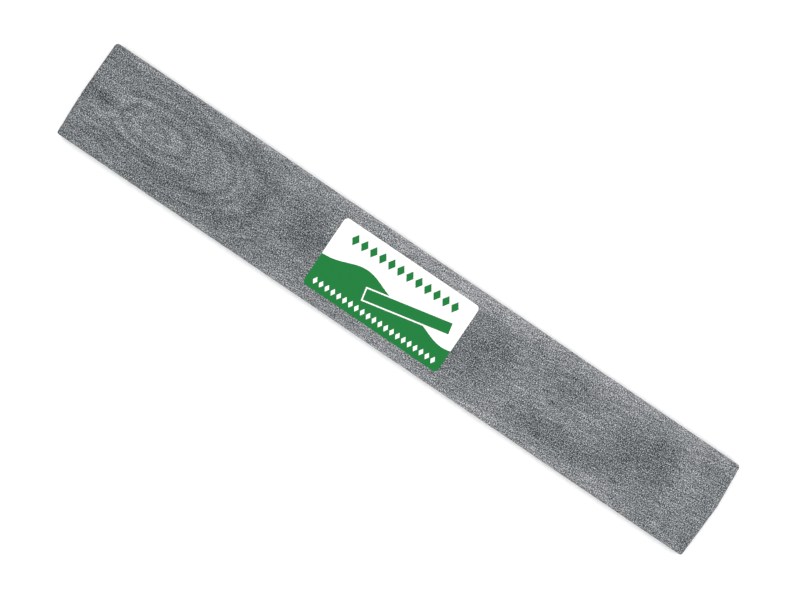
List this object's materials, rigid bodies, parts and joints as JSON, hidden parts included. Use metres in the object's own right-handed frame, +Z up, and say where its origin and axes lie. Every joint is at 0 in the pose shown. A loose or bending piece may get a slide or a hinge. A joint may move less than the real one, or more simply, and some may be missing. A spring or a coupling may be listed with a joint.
{
  "type": "natural sharpening whetstone",
  "caption": "Long flat bar of natural grey stone for honing knives and carving tools, with a printed paper label stuck on its top face.",
  "frame": {"origin": "middle of the bar's base, on the surface that the stone lies on", "axes": "+X along the bar from its slightly wider end to its narrower end, +Y across it towards the top of the label, +Z up through the labelled face"},
  "size_m": [0.23, 0.033, 0.0152],
  "materials": {
    "stone": "sawn and rubbed fine-grained grey rock, matt, faintly banded, with fine grinding scratches",
    "adhesive": "clear to pale pressure-sensitive adhesive film",
    "paper": "white coated label paper, satin",
    "ink": "solid green printing ink, satin"
  },
  "bodies": {
    "root": {"stone_bar": "stone", "label_adhesive": "adhesive", "label_sheet": "paper", "ink_field": "ink", "ink_diamonds": "ink", "ink_picture": "ink"}
  },
  "joints": []
}
